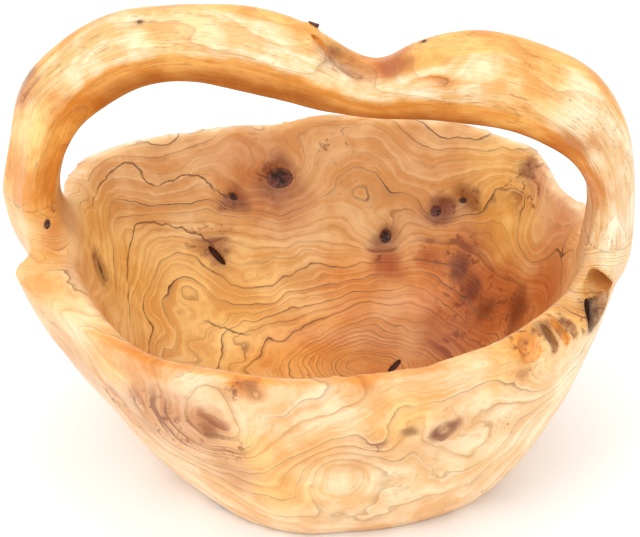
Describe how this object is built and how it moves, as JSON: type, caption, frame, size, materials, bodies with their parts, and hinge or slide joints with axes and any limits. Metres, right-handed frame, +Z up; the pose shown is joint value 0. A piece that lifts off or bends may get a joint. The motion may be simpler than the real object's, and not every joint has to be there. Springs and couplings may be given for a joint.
{
  "type": "root-wood bowl basket",
  "caption": "Thick hand-carved root-wood bowl with a natural branch arching over its mouth as a handle, for holding yarn.",
  "frame": {"origin": "middle of the whole outline, on the plane that the foot stands on", "axes": "+X along the branch handle towards its right-hand leg, +Y from front to back, +Z up out of the bowl's mouth"},
  "size_m": [0.3041, 0.2414, 0.2303],
  "materials": {
    "burl_wood": "satin lacquer",
    "branch_wood": "satin lacquer",
    "knot_wood": "satin lacquer",
    "bark": "rough"
  },
  "bodies": {
    "root": {"bowl": "burl_wood", "handle": "branch_wood", "knot_back_large": "knot_wood", "knot_back_left": "knot_wood", "knot_centre": "knot_wood", "knot_back_right": "knot_wood", "knot_far_right": "knot_wood", "knot_left_leg": "knot_wood", "bark_seam_back": "bark", "bark_pit_left": "bark", "bark_seam_floor": "bark", "bark_pocket_right": "bark", "twig_stub": "knot_wood"}
  },
  "joints": []
}
